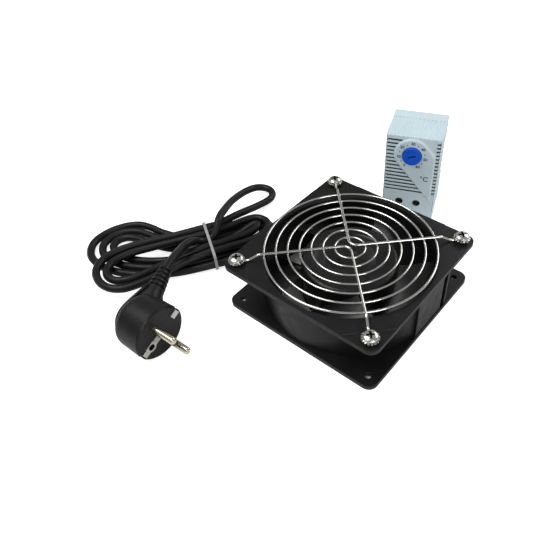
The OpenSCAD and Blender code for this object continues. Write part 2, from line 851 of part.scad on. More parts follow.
// Flat strip round the waist of the bundle
module cable_tie() {
    w = 2 * waist_half - waist_step / 2 + cord_d + 2 * tie_clear;
    h = layer_step + cord_d + 2 * tie_clear;
    color([0.62, 0.63, 0.65])
        translate(in_hank([-tie_w / 2, -waist_step / 4, waist_z + layer_step / 2]))
        rotate([90, 0, hank_turn + 90]) linear_extrude(tie_w) difference() {
            round_rect(w + 2 * tie_t, h + 2 * tie_t, tie_corner_r + tie_t);
            round_rect(w, h, tie_corner_r);
        }
}

module in_plug() translate(plug_pos) rotate([plug_roll, 0, plug_turn]) children();
function plug_point(p) = plug_pos + turn_z(turn_x(p, plug_roll), plug_turn);
function relief_dir() = turn_z(turn_x([0, 1, 0], relief_tilt), relief_yaw);
function relief_end() = plug_point([-relief_back, relief_y, 0] + relief_l * relief_dir());
module in_relief() {
    translate([-relief_back, relief_y, 0]) rotate([relief_tilt, 0, relief_yaw])
        rotate([-90, 0, 0]) children();
}

// Tapered relief with grooves between its ribs
module strain_relief() {
    pitch = relief_l / (relief_ribs + 1);
    function r_at(z) = (relief_d + (relief_tip_d - relief_d) * z / relief_l) / 2;
    ribs = [for (i = [1:relief_ribs]) let (z = i * pitch) each [
        [r_at(z), z], [r_at(z) - relief_groove, z],
        [r_at(z) - relief_groove, z + relief_groove_w], [r_at(z), z + relief_groove_w]]];
    color(black) in_plug() in_relief() rotate_extrude() polygon(concat(
        [[0, 0], [relief_d / 2, 0]], ribs, [[relief_tip_d / 2, relief_l], [0, relief_l]]));
}

// Round body with a rounded back, and the neck with its thumb grip that carries the relief
module plug_body() {
    r = plug_d / 2;
    side_r = r - plug_taper - plug_round;
    back = [for (a = [0:15:90])
        [side_r + plug_round * cos(a), plug_depth - plug_round + plug_round * sin(a)]];
    color(black) in_plug() difference() {
        union() {
            rotate([0, -90, 0]) rotate_extrude()
                polygon(concat([[0, 0], [r - plug_edge, 0], [r, plug_edge]], back, [[0, plug_depth]]));
            hull() {
                translate([-neck_front, 0, 0]) rotate([0, -90, 0])
                    cylinder(h = plug_depth - neck_front, d = neck_d, $fn = 32);
                in_relief() translate([0, 0, -neck_top])
                    cylinder(h = neck_top, d = relief_d, $fn = 32);
            }
            hull() {
                translate([-plug_depth, 0, 0]) rotate([0, -90, 0])
                    cylinder(h = grip_t, d = neck_d + 2 * grip_rim, $fn = 32);
                translate([-plug_depth, relief_y - neck_top, 0]) rotate([0, -90, 0])
                    cylinder(h = grip_t, d = relief_d + 2 * grip_rim, $fn = 32);
            }
        }
        for (z = [-1, 1]) translate([cut, 0, z * pin_pitch / 2]) rotate([0, -90, 0])
            cylinder(h = pin_root + cut, d = pin_root_d);
        for (y = [-1, 1]) translate([0, y * r, 0])
            cube([2 * clip_side_l, 2 * clip_recess, clip_w + 2 * seat], center = true);
        translate([cut, -earth_hole_y, 0]) rotate([0, -90, 0])
            cylinder(h = earth_hole_h + cut, d = earth_hole_d);
    }
}

module plug_pins() {
    tip = pin_d * pin_round_share;
    round_tip = [for (a = [0:15:90])
        [pin_d / 2 - tip + tip * cos(a), pin_l - tip + tip * sin(a)]];
    color(steel) in_plug() for (z = [-1, 1]) translate([0, 0, z * pin_pitch / 2])
        rotate([0, 90, 0]) rotate_extrude()
        polygon(concat([[0, -pin_root], [pin_root_d / 2, -pin_root], [pin_root_d / 2, 0],
        [pin_d / 2, 0]], round_tip, [[0, pin_l]]));
}

// Bent earth clips: a strip in the rim's recess and a tab on the face, the lower one with
// an eye over the socket and a lip along one side
module earth_clips() {
    floor_r = plug_d / 2 - clip_recess;
    color([0.7, 0.7, 0.72]) in_plug() for (i = [0, 1]) rotate([180 * (1 - i), 0, 0]) {
        translate([-clip_side_l + seat, floor_r, -clip_w / 2])
            cube([clip_side_l - seat + clip_sheet, clip_sheet, clip_w]);
        difference() {
            union() {
                translate([0, floor_r - clip_face_l[i], -clip_w / 2])
                    cube([clip_sheet, clip_face_l[i] + clip_sheet, clip_w]);
                if (i == 0) translate([0, earth_hole_y, 0]) rotate([0, 90, 0])
                    cylinder(h = clip_sheet, d = earth_eye_d);
            }
            if (i == 0) translate([-cut, earth_hole_y, 0]) rotate([0, 90, 0])
                cylinder(h = clip_sheet + 2 * cut, d = earth_hole_d);
        }
        if (i == 0) translate([0, earth_hole_y - earth_lip_l / 2, -earth_eye_d / 2])
            cube([earth_lip_h, earth_lip_l, clip_sheet]);
    }
}

module in_th() translate([th_x, th_y, 0]) rotate(th_turn) children();
// Puts the children's Z axis along the thermostat's depth, at height z
module facing(x, y, z) translate([x, y, z]) rotate([-90, 0, 0]) children();

// Outline of the raised panel: round about the dial, drawn out to a lower corner
module panel_outline(inset) {
    translate([0, dial_z]) circle(panel_r - inset, $fn = 48);
    polygon([[0, dial_z], [panel_knee[0] - inset, panel_knee[1] - inset],
        [panel_x - inset, panel_knee_z - inset], [panel_x - inset, panel_tip_z + 2 * inset]]);
}

module raised_panel() {
    hull() {
        rotate([90, 0, 0]) linear_extrude(panel_skin) panel_outline(0);
        translate([0, panel_skin - panel_t, 0]) rotate([90, 0, 0])
            linear_extrude(panel_skin) panel_outline(panel_slope / 2);
    }
}

// Right-hand end of a front vent at height z, hidden under the raised panel
function vent_end(z) = min(vent_max_x, max(vent_upper_x,
    vent_upper_x + vent_under + (panel_x - vent_upper_x) * (dial_z - panel_r / 2 - z)
    / (dial_z - panel_r / 2 - panel_tip_z)));

module vents() {
    for (i = [0:vent_count - 1]) translate([0, 0, vent_top - i * vent_pitch - vent_h / 2]) {
        translate([-th_w / 2 - cut, -cut, 0])
            cube([vent_end(vent_top - i * vent_pitch) + th_w / 2 + cut, th_wall + 2 * cut, vent_h]);
        translate([-th_w / 2 - cut, -cut, 0]) cube([th_wall + 2 * cut, vent_side_l + cut, vent_h]);
        translate([th_w / 2 - vent_front_in, -cut, 0])
            cube([vent_front_in + cut, th_wall + 2 * cut, vent_h]);
        translate([th_w / 2 - th_wall - cut, -cut, 0])
            cube([th_wall + 2 * cut, vent_side_l + cut, vent_h]);
    }
}

module th_cover() {
    color(cover_blue) in_th() difference() {
        union() {
            difference() {
                linear_extrude(th_h) {
                    translate([0, cover_d / 2]) round_rect(th_w, cover_d, th_edge_r);
                    translate([-th_w / 2, cover_d / 2]) square([th_w, cover_d / 2]);
                }
                translate([-th_w / 2 + th_wall, th_wall, th_wall])
                    cube([th_w - 2 * th_wall, cover_d, th_h - 2 * th_wall]);
                vents();
            }
            raised_panel();
        }
        facing(0, -panel_t - cut, dial_z)
            cylinder(h = dial_pocket_h + cut, d = dial_d + 2 * dial_pocket_gap);
        facing(0, -panel_t, dial_z)
            cylinder(h = panel_t + th_wall + cut, d = spindle_d + 2 * spindle_fit);
        for (x = [-1, 1]) {
            facing(x * well_x, -cut, well_z) cylinder(h = th_wall + 2 * cut, d = well_d);
            translate([x * well_x, entry_y, -cut]) cylinder(h = th_wall + 2 * cut, d = entry_d);
        }
        for (i = [-scallop_count / 2:scallop_count / 2])
            facing(i * scallop_pitch, -panel_t - cut, th_h + scallop_out)
            cylinder(h = cover_d + panel_t + 2 * cut, r = scallop_r);
    }
}

// Rear part with the recess for the rail and the channel of its latch
module th_base() {
    low = rail_mid_z - rail_w / 2 - rail_fit;
    high = rail_mid_z + rail_w / 2 + rail_fit;
    groove_y = th_d - rail_lip_t - rail_groove_h;
    channel_z = latch_z - latch_travel - latch_gap;
    color(cover_blue) in_th() difference() {
        translate([-th_w / 2, cover_d, 0]) cube([th_w, th_d - cover_d, th_h]);
        translate([-th_w / 2 - cut, groove_y, low])
            cube([th_w + 2 * cut, rail_groove_h, high - low]);
        translate([-th_w / 2 - cut, groove_y, low])
            cube([th_w + 2 * cut, th_d, high - rail_lip - low]);
        translate([-th_w / 2 - cut, th_d - rail_pocket_h, low + rail_pocket_in])
            cube([th_w + 2 * cut, th_d, high - low - 2 * rail_pocket_in]);
        translate([-latch_w / 2 - latch_gap, latch_y() - latch_gap, channel_z])
            cube([latch_w + 2 * latch_gap, latch_t + 2 * latch_gap, low - channel_z + cut]);
        translate([-latch_neck_w / 2 - latch_gap, latch_y(), channel_z])
            cube([latch_neck_w + 2 * latch_gap, th_d, low - channel_z + cut]);
    }
}

function latch_y() = th_d - rail_lip_t - rail_groove_h;

// Sliding latch: a wide foot in the channel, a neck, and the hook under the rail's edge
module th_rail_latch() {
    low = rail_mid_z - rail_w / 2 - rail_fit;
    color([0.35, 0.36, 0.38]) in_th() {
        translate([-latch_w / 2, latch_y(), latch_z]) cube([latch_w, latch_t, low - latch_gap - latch_z]);
        translate([-latch_neck_w / 2, latch_y(), latch_z])
            cube([latch_neck_w, th_d - latch_y(), low - latch_gap - latch_z]);
        translate([-latch_neck_w / 2, th_d - rail_lip_t, latch_z])
            cube([latch_neck_w, rail_lip_t, low + rail_lip - latch_z]);
    }
}

module th_dial() {
    back = -panel_t + dial_pocket_h - seat;
    color([0.08, 0.25, 0.68]) in_th() difference() {
        union() {
            facing(0, back - dial_h, dial_z) cylinder(h = dial_h, d = dial_d);
            facing(0, back - dial_h / 2, dial_z) cylinder(h = spindle_l + dial_h / 2, d = spindle_d);
        }
        translate([0, back - dial_h, dial_z]) rotate([0, -dial_turn, 0])
            cube([dial_slot_l, 2 * dial_slot_h, dial_slot_w], center = true);
    }
}

// Eccentric cam on the dial's spindle
module th_cam() {
    color([0.8, 0.8, 0.78]) in_th() difference() {
        facing(cam_offset, cam_y, dial_z) cylinder(h = cam_t, d = cam_d);
        facing(0, cam_y - cut, dial_z) cylinder(h = cam_t + 2 * cut, d = spindle_d);
    }
}

module th_switch() {
    color([0.2, 0.2, 0.22]) in_th() {
        translate([-switch_w / 2, switch_y, dial_z - switch_h / 2])
            cube([switch_w, cover_d - switch_y, switch_h]);
        facing(cam_d / 2, switch_y - switch_plunger_l, dial_z)
            cylinder(h = switch_plunger_l + cut, d = switch_plunger_d);
    }
}

// Bowed bimetal strip on the foot that fixes it to the base
module th_bimetal() {
    mid_z = (bimetal_low + th_h - bimetal_top_in) / 2;
    color(brass) in_th() {
        intersection() {
            translate([bimetal_x - bimetal_r, bimetal_y, mid_z]) rotate([-90, 0, 0])
                collar(bimetal_r - bimetal_t, bimetal_r, 0, bimetal_w);
            translate([bimetal_x - bimetal_foot_w, bimetal_y - cut, mid_z - bimetal_l / 2])
                cube([2 * bimetal_foot_w, bimetal_w + 2 * cut, bimetal_l]);
        }
        foot_y = bimetal_y + bimetal_w - bimetal_t;
        translate([bimetal_x - bimetal_foot_w / 2 - bimetal_t, foot_y, mid_z - bimetal_foot_h / 2])
            cube([bimetal_foot_w, cover_d - foot_y, bimetal_foot_h]);
    }
}

module th_terminal_block() {
    color([0.85, 0.85, 0.82]) in_th() difference() {
        translate([-block_w / 2, block_y, block_z]) cube([block_w, cover_d - block_y, block_h]);
        for (x = [-1, 1]) {
            facing(x * well_x, block_y - cut, well_z)
                cylinder(h = term_head_in + term_head_h - block_y + cut, d = well_d);
            facing(x * well_x, block_y, well_z)
                cylinder(h = term_head_in + term_head_h + term_shank_l, d = term_shank_d);
            translate([x * well_x, entry_y, block_z - cut])
                cylinder(h = well_z - block_z + cut, d = entry_d);
        }
    }
}

module th_terminal_screws() {
    color(steel) in_th() for (x = [-1, 1]) difference() {
        union() {
            facing(x * well_x, term_head_in, well_z) cylinder(h = term_head_h, d = term_head_d);
            facing(x * well_x, term_head_in, well_z)
                cylinder(h = term_head_h + term_shank_l, d = term_shank_d);
        }
        translate([x * well_x, term_head_in, well_z])
            cube([term_head_d + cut, 2 * term_slot_h, term_slot_w], center = true);
    }
}

inlet_flange();
outlet_flange();
duct();
motor_frame();
terminal_blades();
stator_core();
windings();
bearings();
impeller();
rotor_cup();
rotor_core();
shaft();
shaft_clip();
guard_rings();
guard_wire_back();
guard_wire_front();
guard_screws();
toothed_washers();
guard_nuts();
fan_connector();
cord_lead();
cord_hank();
cord_tail();
cable_tie();
strain_relief();
plug_body();
plug_pins();
earth_clips();
th_cover();
th_base();
th_dial();
th_cam();
th_switch();
th_bimetal();
th_terminal_block();
th_terminal_screws();
th_rail_latch();
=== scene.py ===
"""Looks for the rack fan set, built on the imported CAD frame.

Lengths are in millimetres and angles in degrees, unless a comment says otherwise. MM turns the
lengths into Blender's metres.
"""
import math
import bpy
import bmesh
from mathutils import Matrix, Vector


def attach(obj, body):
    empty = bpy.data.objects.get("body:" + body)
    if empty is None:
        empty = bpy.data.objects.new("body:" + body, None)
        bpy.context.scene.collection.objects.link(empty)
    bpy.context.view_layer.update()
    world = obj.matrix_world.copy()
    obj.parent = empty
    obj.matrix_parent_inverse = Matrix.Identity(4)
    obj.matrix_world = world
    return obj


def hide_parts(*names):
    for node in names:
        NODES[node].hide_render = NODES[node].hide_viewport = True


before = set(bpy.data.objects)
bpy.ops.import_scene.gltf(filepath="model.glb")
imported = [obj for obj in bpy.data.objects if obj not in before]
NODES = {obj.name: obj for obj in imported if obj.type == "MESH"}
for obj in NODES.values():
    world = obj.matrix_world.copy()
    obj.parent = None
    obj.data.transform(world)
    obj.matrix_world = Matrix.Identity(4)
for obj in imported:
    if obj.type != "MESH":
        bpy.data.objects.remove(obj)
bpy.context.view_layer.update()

MM = 0.001


def new_object(name, data):
    """Links a new object with this data to the scene."""
    obj = bpy.data.objects.new(name, data)
    bpy.context.scene.collection.objects.link(obj)
    return obj


# Camera, solved on the fan's corners and holes in the photograph
CAM_AZIMUTH = 41.44
CAM_ELEVATION = 45.95
CAM_ROLL = -3.23
CAM_AIM = Vector((-17.11, -23.84, 20))
CAM_DISTANCE = 380.5
CAM_SHIFT_X = -0.05
FOCAL_PIXELS = 568.68
PHOTO_PIXELS = 560
SENSOR_WIDTH = 36
CLIP_METRES = (0.01, 10)


def make_camera():
    azimuth = math.radians(CAM_AZIMUTH)
    elevation = math.radians(CAM_ELEVATION)
    roll = math.radians(CAM_ROLL)
    back = Vector((math.sin(azimuth) * math.cos(elevation),
                   -math.cos(azimuth) * math.cos(elevation), math.sin(elevation)))
    level_right = Vector((math.cos(azimuth), math.sin(azimuth), 0))
    level_up = back.cross(level_right)
    right = level_right * math.cos(roll) + level_up * math.sin(roll)
    up = level_up * math.cos(roll) - level_right * math.sin(roll)
    data = bpy.data.cameras.new("camera")
    data.sensor_width = SENSOR_WIDTH
    data.lens = FOCAL_PIXELS * SENSOR_WIDTH / PHOTO_PIXELS
    data.shift_x = CAM_SHIFT_X
    data.clip_start, data.clip_end = CLIP_METRES
    camera = new_object("camera", data)
    turn = Matrix((right, up, back)).transposed().to_4x4()
    camera.matrix_world = Matrix.Translation((CAM_AIM + back * CAM_DISTANCE) * MM) @ turn
    bpy.context.scene.camera = camera


make_camera()


# Course of the lead, as in the part's source
def ease(x):
    """Eases from 0 to 1 while x goes from 0 to 1."""
    x = min(1, max(0, x))
    return x * x * (3 - 2 * x)


def turn_z(p, angle):
    a = math.radians(angle)
    return Vector((p[0] * math.cos(a) - p[1] * math.sin(a),
                   p[0] * math.sin(a) + p[1] * math.cos(a), p[2]))


def turn_x(p, angle):
    a = math.radians(angle)
    return Vector((p[0], p[1] * math.cos(a) - p[2] * math.sin(a),
                   p[1] * math.sin(a) + p[2] * math.cos(a)))


CORD_D = 5.8

# The hank's own frame starts under the tie. Its first axis runs along the bundle, away from the
# plug, and its second axis points to the left of that.
HANK_PLACE = Vector((-108, -30, 0))
HANK_TURN = 58
HANK_LOOPS = 4.5
HANK_CLIMB_TURN = 2.5
HANK_STEPS = 24
HANK_RUN = 6
# Reach past the tie, swell and bend in degrees for each millimetre of the outer loop's two
# sides, each in the lower and the upper layer
LOOP_SIDES = {
    "left": dict(reach=(94, 89), swell=(15, 14), bend=(0.72, -0.17)),
    "right": dict(reach=(56, 56), swell=(8, 8), bend=(0.49, 0.49)),
}
REACH_STEP = 7
SWELL_STEP = 3
LOBE_SHARE = 2.6
WAIST_HALF = 19.5
WAIST_STEP = 7
WAIST_Z = 4.3
LAYER_STEP = 6.5
LAYER_SAG = 1.4
SAG_START = 8
SAG_RUN = 22
CLIMB_START_TURN = 0.02
CLIMB_TURNS = 0.2
LEAST_SINE = 1e-9


def in_hank(p):
    return HANK_PLACE + turn_z(p, HANK_TURN)


def hank_point(t):
    """Centre line of the hank after t turns. The loops spiral inwards in the lower layer, climb
    along a run, and spiral outwards again in the upper layer."""
    layer = 1 if t > HANK_CLIMB_TURN else 0
    depth = HANK_CLIMB_TURN - abs(t - HANK_CLIMB_TURN)
    sine = math.sin(2 * math.pi * t)
    cosine = math.cos(2 * math.pi * t)
    side = LOOP_SIDES["left" if sine > LEAST_SINE else "right"]
    reach = side["reach"][layer] - REACH_STEP * depth
    swell = side["swell"][layer] - SWELL_STEP * depth
    bend_r = 180 / math.pi / side["bend"][layer]
    along = -reach * sine
    across = -cosine * (WAIST_HALF - WAIST_STEP * depth + LOBE_SHARE * swell * sine * sine)
    climb = LAYER_STEP * ease((t - HANK_CLIMB_TURN - CLIMB_START_TURN) / CLIMB_TURNS)
    sag = LAYER_SAG * ease((abs(along) - SAG_START) / SAG_RUN)
    return in_hank(((bend_r - across) * math.sin(along / bend_r),
                    bend_r - (bend_r - across) * math.cos(along / bend_r),
                    WAIST_Z + climb - sag))


# The lead leaves the connector by its boot
BOOT_BACK = Vector((-69, -6.6, 13))
BOOT_L = 8
BOOT_TURN = 240
LEAD_START = BOOT_BACK + BOOT_L * turn_z((1, 0, 0), BOOT_TURN)

# It ends in the plug's strain relief, which is placed in a frame at the middle of the plug's face
PLUG_PLACE = Vector((-62, -114.5, 19.2))
PLUG_TURN = 3
PLUG_ROLL = 23
RELIEF_BASE = Vector((-22.5, 19, 0))
RELIEF_L = 20
RELIEF_TILT = -12
RELIEF_YAW = 20
RELIEF_TIP = RELIEF_BASE + RELIEF_L * turn_z(turn_x((0, 1, 0), RELIEF_TILT), RELIEF_YAW)
LEAD_END = PLUG_PLACE + turn_z(turn_x(RELIEF_TIP, PLUG_ROLL), PLUG_TURN)

# Free stretches between the boot, the hank and the strain relief
LEAD = [(-76.1, -17.9, 12.3), (-79.1, -22.2, 10.2), (-82.2, -26.6, 7.1), (-85.2, -30.9, 5)]
TAIL = [(-116.2, -12, 10.6), (-115.2, -4, 10.2), (-114, 5, 9.4), (-112.9, 14, 8),
        (-112, 22, 6.6), (-111.4, 29.5, 5.4), (-110.8, 36.8, 4.6), (-111.3, 42.6, 4.2),
        (-114.6, 48, 4.1), (-120, 50.2, 4.2), (-125.6, 48.8, 4.5), (-129.8, 44.6, 5.2),
        (-131.2, 38.2, 6.4), (-130.6, 30.4, 8.3), (-128.8, 22, 10.4), (-126, 13, 12.8),
        (-122.4, 5, 15), (-118.8, -1.5, 17.1), (-114.1, -10.2, 19.4), (-110.5, -16.5, 18.9),
        (-107.8, -21.6, 14.6), (-108.8, -27.8, 10.8), (-110.6, -32, 10.6),
        (-112.7, -37.7, 13.6), (-111.8, -42.8, 17.3), (-110.6, -50, 19.6), (-106.6, -57.4, 22.6),
        (-102, -65, 26), (-97.4, -72.4, 28.6)]

ROUTE_STEP = 2.0
FINE_STEPS = 24
LEAST_KNOT = 1e-6


def blend(a, b, start, end, t):
    """Goes from a to b while t goes from start to end."""
    return a * ((end - t) / (end - start)) + b * ((t - start) / (end - start))


def smooth_path(points):
    """Centripetal Catmull-Rom curve through the points, resampled at even steps."""
    before = 2 * points[0] - points[1]
    after = 2 * points[-1] - points[-2]
    points = [before] + points + [after]
    fine = []
    for i in range(1, len(points) - 2):
        p = points[i - 1:i + 3]
        knots = [0.0]
        for a, b in zip(p, p[1:]):
            knots.append(knots[-1] + max(LEAST_KNOT, (b - a).length ** 0.5))
        for step in range(FINE_STEPS):
            t = knots[1] + (knots[2] - knots[1]) * step / FINE_STEPS
            q = [blend(p[j], p[j + 1], knots[j], knots[j + 1], t) for j in range(3)]
            r = [blend(q[j], q[j + 1], knots[j], knots[j + 2], t) for j in range(2)]
            fine.append(blend(r[0], r[1], knots[1], knots[2], t))
    fine.append(points[-2])
    route = [fine[0]]
    run = 0.0
    for a, b in zip(fine, fine[1:]):
        run += (b - a).length
        if run >= ROUTE_STEP:
            route.append(b)
            run = 0.0
    if (route[-1] - fine[-1]).length > ROUTE_STEP / 2:
        route.append(fine[-1])
    else:
        route[-1] = fine[-1]
    return route


def lead_route():
    """The whole lead, from the connector's boot to the plug's strain relief."""
    hank = [hank_point(i / HANK_STEPS) for i in range(int(HANK_LOOPS * HANK_STEPS) + 1)]
    run = turn_z((HANK_RUN, 0, 0), HANK_TURN)
    points = [LEAD_START] + [Vector(p) for p in LEAD] + [hank[0] + run] + hank
    points += [hank[-1] + run] + [Vector(p) for p in TAIL] + [LEAD_END]
    return smooth_path(points)


ROUTE = lead_route()


# Mesh helpers
def edit_mesh(mesh, change):
    """Makes a change to a mesh in its editable form."""
    editable = bmesh.new()
    editable.from_mesh(mesh)
    change(editable)
    editable.to_mesh(mesh)
    editable.free()


def face_outwards(editable):
    bmesh.ops.recalc_face_normals(editable, faces=editable.faces)


def mesh_from(name, verts, faces, smooth=True):
    mesh = bpy.data.meshes.new(name)
    mesh.from_pydata([tuple(v) for v in verts], [], faces)
    mesh.validate()
    edit_mesh(mesh, face_outwards)
    for face in mesh.polygons:
        face.use_smooth = smooth
    return mesh


def sharpen(obj, least_angle):
    """Shades a mesh smooth and keeps the edges above an angle crisp."""
    def crease(editable):
        for edge in editable.edges:
            if len(edge.link_faces) == 2:
                edge.smooth = edge.calc_face_angle(0) < math.radians(least_angle)
        for face in editable.faces:
            face.smooth = True

    edit_mesh(obj.data, crease)


def band(low, high, count):
    """Faces between two rings of count points, which start at the indices low and high."""
    return [(low + k, low + (k + 1) % count, high + (k + 1) % count, high + k)
            for k in range(count)]


# Shader helpers
def fill(tree, node, sockets):
    """Links each named or numbered input to another node's socket, or sets it to a value."""
    for key, value in sockets.items():
        if isinstance(value, bpy.types.NodeSocket):
            tree.links.new(value, node.inputs[key])
        else:
            node.inputs[key].default_value = value


def add_node(tree, kind, sockets=None, **settings):
    """Adds a shader node. Its settings come first, because they decide which inputs it has."""
    node = tree.nodes.new("ShaderNode" + kind)
    for name, value in settings.items():
        setattr(node, name, value)
    fill(tree, node, sockets or {})
    return node


def calculate(tree, operation, *values, clamp=False):
    node = add_node(tree, "Math", dict(enumerate(values)), operation=operation, use_clamp=clamp)
    return node.outputs["Value"]


def noise_at(tree, place, scale, detail, roughness=0.5):
    """Noise between 0 and 1 at a place. Its scale is per metre."""
    sockets = {"Vector": place, "Scale": scale, "Detail": detail, "Roughness": roughness}
    return add_node(tree, "TexNoise", sockets).outputs["Fac"]


def remap(tree, value, low, high, to_low=0, to_high=1):
    """Stretches the range from low to high to another one, and holds the value inside that."""
    sockets = {"Value": value, "From Min": low, "From Max": high, "To Min": to_low,
               "To Max": to_high}
    return add_node(tree, "MapRange", sockets).outputs["Result"]


def mix_colour(tree, amount, colour, other):
    """Goes from a colour to another one as the amount goes from 0 to 1."""
    sockets = {"Factor": amount, "A": colour, "B": tuple(other) + (1,)}
    return add_node(tree, "Mix", sockets, data_type="RGBA").outputs["Result"]


# Materials
MOTTLE_RANGE = (0.3, 0.7)
MOTTLE_DETAIL = 6
MOTTLE_ROUGHNESS = 0.6
# Lighter edges: a painted highlight, with some wear
EDGE_WEAR_AND_HIGHLIGHT_RANGE = (0.97, 0.80)
EDGE_WEAR_AND_HIGHLIGHT_SCALE = 900
EDGE_WEAR_AND_HIGHLIGHT_DETAIL = 5
DUST_RANGE = (0.5, 0.8)
DUST_SCALE = 1500
DUST_DETAIL = 8
DUST_COLOUR = (0.35, 0.34, 0.33)
GLOSS_SCALE_SHARE = 2.7
GLOSS_DETAIL = 5
LEAST_ROUGH = 0.02
BUMP_DETAIL = 4
BEVEL_SAMPLES = 6
COAT_ROUGH = 0.25


def mottled(tree, place, base, spread, scale):
    """The base colour in patches that are darker and lighter by a share of it."""
    noise = noise_at(tree, place, scale, MOTTLE_DETAIL, MOTTLE_ROUGHNESS)
    ramp = add_node(tree, "ValToRGB", {"Fac": noise})
    stops = zip(ramp.color_ramp.elements, MOTTLE_RANGE, (1 - spread, 1 + spread))
    for stop, position, shade in stops:
        stop.position = position
        stop.color = tuple(min(1, c * shade) for c in base) + (1,)
    return ramp.outputs["Color"]


def edge_wear_and_highlight(tree, geometry, rounded, colour, edge_wear_and_highlight_tint):
    """Lightens the colour where the rounded normal leaves the face's own, broken up by grain: a
    painted highlight on the edges, with some wear.
    """
    dot = add_node(tree, "VectorMath", {0: geometry.outputs["Normal"], 1: rounded},
                   operation="DOT_PRODUCT")
    wear_and_highlight = remap(tree, dot.outputs["Value"], *EDGE_WEAR_AND_HIGHLIGHT_RANGE)
    grain = noise_at(tree, geometry.outputs["Position"], EDGE_WEAR_AND_HIGHLIGHT_SCALE, EDGE_WEAR_AND_HIGHLIGHT_DETAIL)
    return mix_colour(tree, calculate(tree, "MULTIPLY", wear_and_highlight, grain), colour, edge_wear_and_highlight_tint)


def dusted(tree, geometry, colour, dust):
    """Lays fine pale dust on the faces that look up."""
    normal = add_node(tree, "SeparateXYZ", {"Vector": geometry.outputs["Normal"]})
    grain = noise_at(tree, geometry.outputs["Position"], DUST_SCALE, DUST_DETAIL)
    specks = remap(tree, grain, *DUST_RANGE, to_high=dust)
    amount = calculate(tree, "MULTIPLY", normal.outputs["Z"], specks, clamp=True)
    return mix_colour(tree, amount, colour, DUST_COLOUR)


def material(name, base, rough, bumps, metal=0.0, spread=0.15, spread_scale=60, rough_spread=0.1,
             edge=0.0, edge_wear_and_highlight_tint=None, spec=0.5, coat=0.0, dust=0.0):
    """A shader with mottled colour and gloss, layered bumps and rounded edges. Spread is the
    share by which the colour varies, scales are per metre, a bump is a scale, a strength and a
    depth, and edge is the radius of the rounding."""
    made = bpy.data.materials.new(name)
    made.use_nodes = True
    tree = made.node_tree
    geometry = add_node(tree, "NewGeometry")
    place = geometry.outputs["Position"]
    colour = mottled(tree, place, base, spread, spread_scale)
    normal = None
    if edge > 0:
        rounding = add_node(tree, "Bevel", {"Radius": edge * MM}, samples=BEVEL_SAMPLES)
        normal = rounding.outputs["Normal"]
    # Edges lighter in colour: a painted highlight, with some wear
    if edge_wear_and_highlight_tint is not None:
        colour = edge_wear_and_highlight(tree, geometry, normal, colour, edge_wear_and_highlight_tint)
    if dust > 0:
        colour = dusted(tree, geometry, colour, dust)
    gloss = noise_at(tree, place, spread_scale * GLOSS_SCALE_SHARE, GLOSS_DETAIL)
    roughness = remap(tree, gloss, *MOTTLE_RANGE, max(LEAST_ROUGH, rough - rough_spread),
                      min(1, rough + rough_spread))
    for scale, strength, depth in bumps:
        height = noise_at(tree, place, scale, BUMP_DETAIL)
        sockets = {"Strength": strength, "Distance": depth * MM, "Height": height}
        if normal is not None:
            sockets["Normal"] = normal
        normal = add_node(tree, "Bump", sockets).outputs["Normal"]
    fill(tree, tree.nodes["Principled BSDF"], {
        "Base Color": colour, "Roughness": roughness, "Normal": normal, "Metallic": metal,
        "Specular IOR Level": spec, "Coat Weight": coat, "Coat Roughness": COAT_ROUGH})
    return made


def box_mask(made, origin, turn, low, high, folded=False):
    """A socket that gives 1 inside a box on a turned frame and 0 outside. Where it is folded,
    places with a negative x or y count as those across the axis."""
    tree = made.node_tree
    place = add_node(tree, "NewGeometry").outputs["Position"]
    if folded:
        place = add_node(tree, "VectorMath", {0: place}, operation="ABSOLUTE").outputs["Vector"]
    moved = add_node(tree, "VectorMath", {0: place, 1: Vector(origin) * MM},
                     operation="SUBTRACT")
    turned = add_node(tree, "VectorRotate", {"Vector": moved.outputs["Vector"],
                                             "Angle": math.radians(-turn)},
                      rotation_type="Z_AXIS")
    axes = add_node(tree, "SeparateXYZ", {"Vector": turned.outputs["Vector"]})
    inside = None
    for axis, a, b in zip("XYZ", low, high):
        near = calculate(tree, "COMPARE", axes.outputs[axis], (a + b) / 2 * MM, (b - a) / 2 * MM)
        inside = near if inside is None else calculate(tree, "MULTIPLY", inside, near)
    return inside


def tint(made, mask, colour, share=1.0):
    """Mixes a colour into the base colour where the mask is 1."""
    tree = made.node_tree
    base = tree.nodes["Principled BSDF"].inputs["Base Color"]
    amount = calculate(tree, "MULTIPLY", mask, share)
    tree.links.new(mix_colour(tree, amount, base.links[0].from_socket, colour), base)


